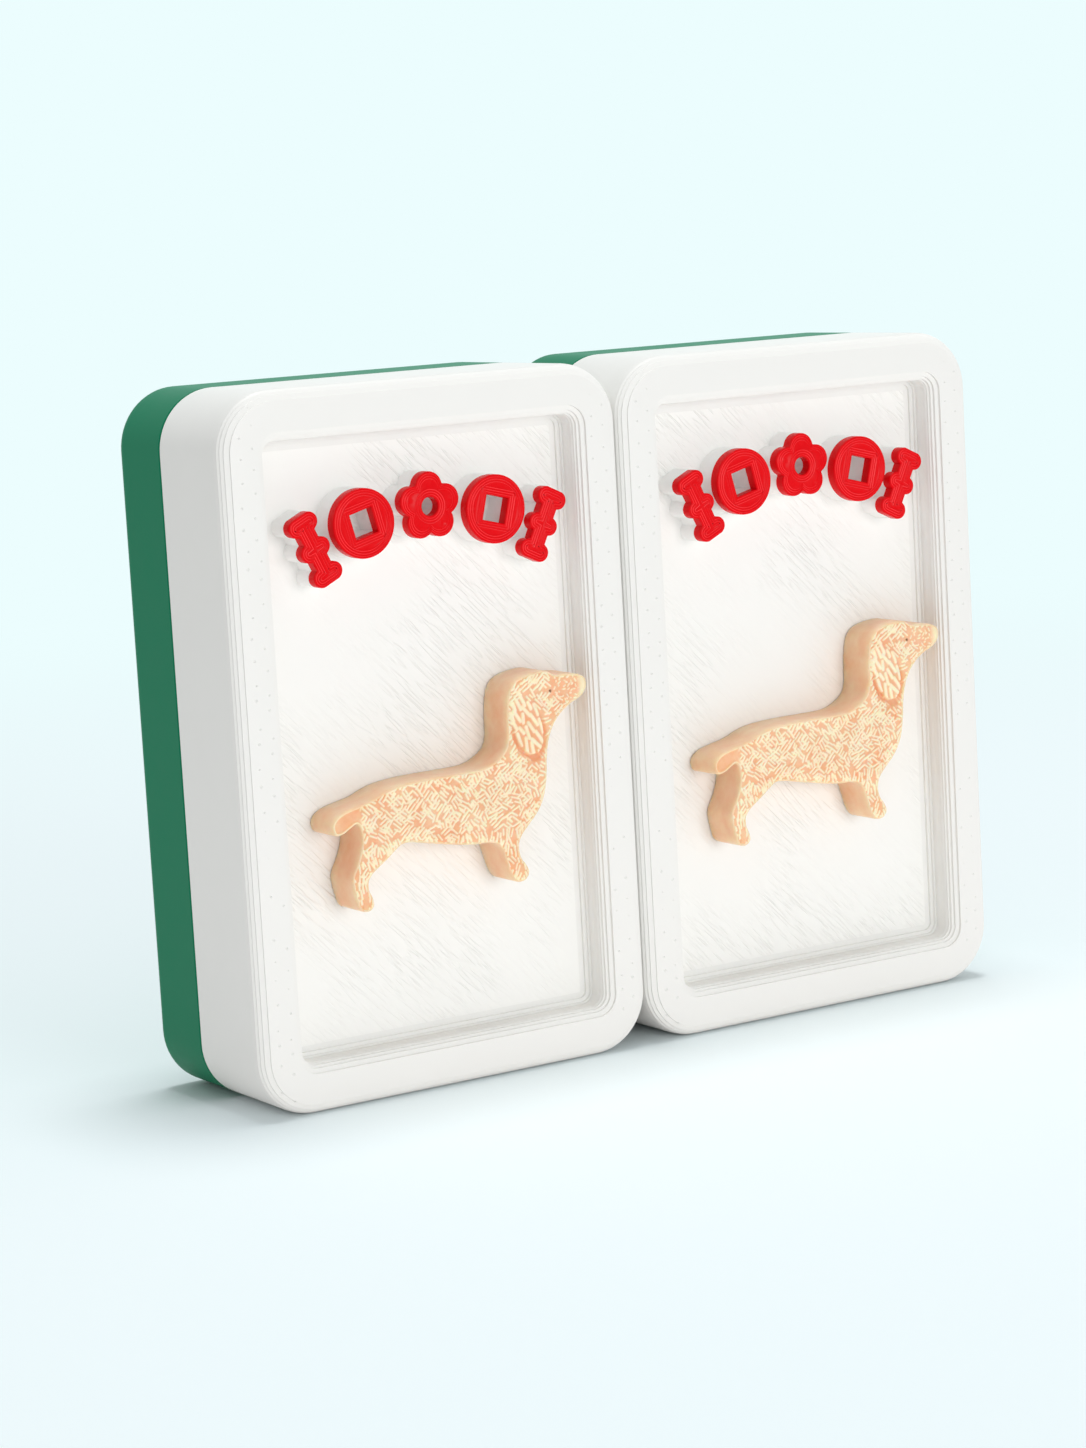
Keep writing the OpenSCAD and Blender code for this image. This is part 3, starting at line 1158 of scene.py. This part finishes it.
@dataclass(frozen=True)
class Studio:
    """A pale blue floor that fades into a pale blue surround, with soft light mainly from the front."""

    backdrop: str = "#ecfdfe"
    floor_colour: str = "#ffffff"
    floor_seen: str = "#f0fcff"
    floor_roughness: float = 0.5
    world_strength: float = 0.49
    floor_r_m: float = 0.6
    fade_m: Span = (0.06, 0.25)
    lamps: tuple[SoftLamp, ...] = (
        SoftLamp("key", (0.06, -0.78, 0.08), 0.4, 2.4),
        SoftLamp("top", (0.05, 0.03, 0.7), 0.26, 2.3),
    )

    def build(self) -> None:
        """Makes the surround, the floor and the lamps."""
        self.surround()
        self.floor()
        for lamp in self.lamps:
            lamp.build()

    @staticmethod
    def seen(tree: Tree) -> Socket:
        """Gives 1 where the backdrop is looked at, straight, in a reflection or through glass."""
        rays = add_node(tree, "LightPath").outputs
        direct = maths(tree, "MAXIMUM", rays["Is Camera Ray"], rays["Is Glossy Ray"])
        return maths(tree, "MAXIMUM", direct, rays["Is Transmission Ray"])

    def surround(self) -> None:
        """Makes the world: plain light on the object, and the backdrop's colour where it is seen."""
        world = bpy.data.worlds.new("surround")
        tree = fresh_tree(world)
        light = add_node(tree, "Background", {
            "Color": (1, 1, 1, 1), "Strength": self.world_strength})
        view = add_node(tree, "Background", {"Color": linear(self.backdrop), "Strength": 1.0})
        mix = add_node(tree, "MixShader", {
            0: self.seen(tree), 1: light.outputs[0], 2: view.outputs[0]})
        add_node(tree, "OutputWorld", {"Surface": mix.outputs[0]})
        bpy.context.scene.world = world

    def floor(self) -> None:
        """Makes the floor disc: white to the light, pale blue where it is seen, and lost in the surround."""
        bm = bmesh.new()
        bmesh.ops.create_circle(bm, cap_ends=True, segments=ROUND_SEGMENTS, radius=self.floor_r_m)
        mesh = bpy.data.meshes.new("floor")
        bm.to_mesh(mesh)
        bm.free()
        material = bpy.data.materials.new("pale_floor")
        tree = fresh_tree(material)
        place = add_node(tree, "TexCoord").outputs["Object"]
        away = add_node(tree, "VectorMath", {0: place}, operation="LENGTH").outputs["Value"]
        fade = ranged(tree, away, self.fade_m, easing="SMOOTHSTEP")
        seen = self.seen(tree)
        # No gloss, so the low key lamp doesn't show in the floor from behind
        surface = add_node(tree, "BsdfPrincipled", {
            "Base Color": blended(tree, seen, linear(self.floor_colour), linear(self.floor_seen)),
            "Roughness": self.floor_roughness, "Specular IOR Level": 0.0})
        glow = add_node(tree, "Emission", {"Color": linear(self.backdrop), "Strength": 1.0})
        mix = add_node(tree, "MixShader", {
            0: maths(tree, "MULTIPLY", fade, seen), 1: surface.outputs["BSDF"], 2: glow.outputs["Emission"]})
        add_node(tree, "OutputMaterial", {"Surface": mix.outputs[0]})
        mesh.materials.append(material)
        floor = add_object("floor", mesh)


class TilePair:
    """Both tiles with their finishes."""

    ROWS = {
        Side.LEFT: ("bamboo_outer", "coin_outer", "blossom", "coin_inner", "bamboo_inner"),
        Side.RIGHT: ("bamboo_inner", "coin_inner", "blossom", "coin_outer", "bamboo_outer"),
    }

    def __init__(self) -> None:
        """Makes the finishes that both tiles share."""
        # Smooth satin green: the print surface scatters its highlight, so little of the surround shows in it
        self.green = PrintedPlastic("green_pla", "#0a7854", "#0c7b57", 0.45, specular=0.12).build()
        # Warm white, satin: plain flanks, a pitted rim, layer lines on the recess wall, streaks on its floor
        self.flank = PrintedPlastic("white_pla_flank", "#f1f1ee", "#eeeeeb", 0.45).build()
        self.rim = PittedPlastic("white_pla_rim", "#f1f1ee", "#efefec", 0.45, relief_mm=0.045).build()
        self.wall = LayeredPlastic("white_pla_wall", "#f4f4f1", "#f1f1ee", 0.45, glow=0.25).build()
        # The recess floor is whiter than the flanks: painted light that offsets the shade inside the recess
        self.recess = StreakedPlastic(
            "white_pla_recess_brightened", "#fafaf7", "#f7f7f4", 0.42, relief_mm=0.035).build()
        # Whiter than the body's white: painted light that lifts the plinths' shaded sides, so they hardly
        # show against the floor
        self.plinth = PrintedPlastic("white_pla_plinth_brightened", "#ffffff", "#fdfdfb", 0.45).build()
        # Smooth strong red; the paler red on the lines where the nozzle ran is a painted highlight
        self.red = PrintedPlastic("red_pla", "#ea000e", "#e0000c", 0.25, specular=0.12).build()
        self.red_line_highlight = PrintedPlastic("red_pla_line_highlight", "#ff444a", "#f8262e", 0.2, specular=0.2).build()
        # Pearly pale gold that lets light in, so its sides glow; its second tone, cream, is the colour of
        # its painted highlights
        self.gold = SilkPlastic("silk_gold_pla", "#f0b488", "#ffeecd", 0.34, glow=0.7, specular=0.3).build()

    def build(self, side: Side) -> None:
        """Builds every piece of one tile.

        Args:
            side: which tile.
        """
        tile = TileFrame.of(side)
        TileBack(tile).build(self.green)
        body = TileBody(tile)
        body.build([self.flank, self.rim, self.wall, self.recess])
        for node in self.ROWS[side]:
            mark = Mark(tile, body, node, MarkShape(node.split("_")[0]))
            mark.build_plinth(self.plinth)
            mark.build_cap([self.red, self.red_line_highlight])
        TileDog(tile).build(self.gold)


def main() -> None:
    """Builds the camera, the studio and both tiles."""
    logging.basicConfig(level=logging.INFO, format="%(name)s: %(message)s")
    bpy.context.scene.view_settings.view_transform = "Standard"
    PhotoCamera().build()
    Studio().build()
    pair = TilePair()
    for side in Side:
        pair.build(side)


if __name__ == "__main__":
    main()
